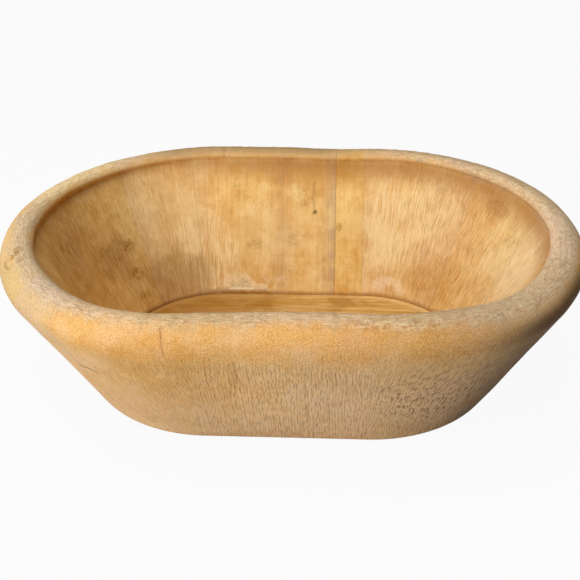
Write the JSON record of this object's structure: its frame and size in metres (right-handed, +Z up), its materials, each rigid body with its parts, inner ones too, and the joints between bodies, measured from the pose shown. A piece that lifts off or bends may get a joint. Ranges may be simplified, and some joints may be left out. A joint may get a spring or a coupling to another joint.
{
  "type": "dough bowl",
  "caption": "Oval wooden dough bowl of glued upright staves with a thick rounded rim, flared walls and a flat boarded floor let into a groove.",
  "frame": {"origin": "on the resting plane, under the middle of the bowl", "axes": "+X along the bowl's length, +Y to its back, +Z up"},
  "size_m": [0.5, 0.364, 0.1505],
  "materials": {
    "stave_wood": "worn, dry-sanded, lightly waxed",
    "floor_wood": "worn, oiled",
    "dowel_wood": "plain turned"
  },
  "bodies": {
    "root": {"back_stave_1": "stave_wood", "back_stave_2": "stave_wood", "back_stave_3": "stave_wood", "floor_board_back": "floor_wood", "floor_board_front": "floor_wood", "floor_board_middle": "floor_wood", "floor_dowels": "dowel_wood", "front_stave_1": "stave_wood", "front_stave_2": "stave_wood", "front_stave_3": "stave_wood", "left_end_stave_1": "stave_wood", "left_end_stave_10": "stave_wood", "left_end_stave_11": "stave_wood", "left_end_stave_2": "stave_wood", "left_end_stave_3": "stave_wood", "left_end_stave_4": "stave_wood", "left_end_stave_5": "stave_wood", "left_end_stave_6": "stave_wood", "left_end_stave_7": "stave_wood", "left_end_stave_8": "stave_wood", "left_end_stave_9": "stave_wood", "right_end_stave_1": "stave_wood", "right_end_stave_10": "stave_wood", "right_end_stave_11": "stave_wood", "right_end_stave_2": "stave_wood", "right_end_stave_3": "stave_wood", "right_end_stave_4": "stave_wood", "right_end_stave_5": "stave_wood", "right_end_stave_6": "stave_wood", "right_end_stave_7": "stave_wood", "right_end_stave_8": "stave_wood", "right_end_stave_9": "stave_wood", "stave_dowels": "dowel_wood"}
  },
  "joints": []
}
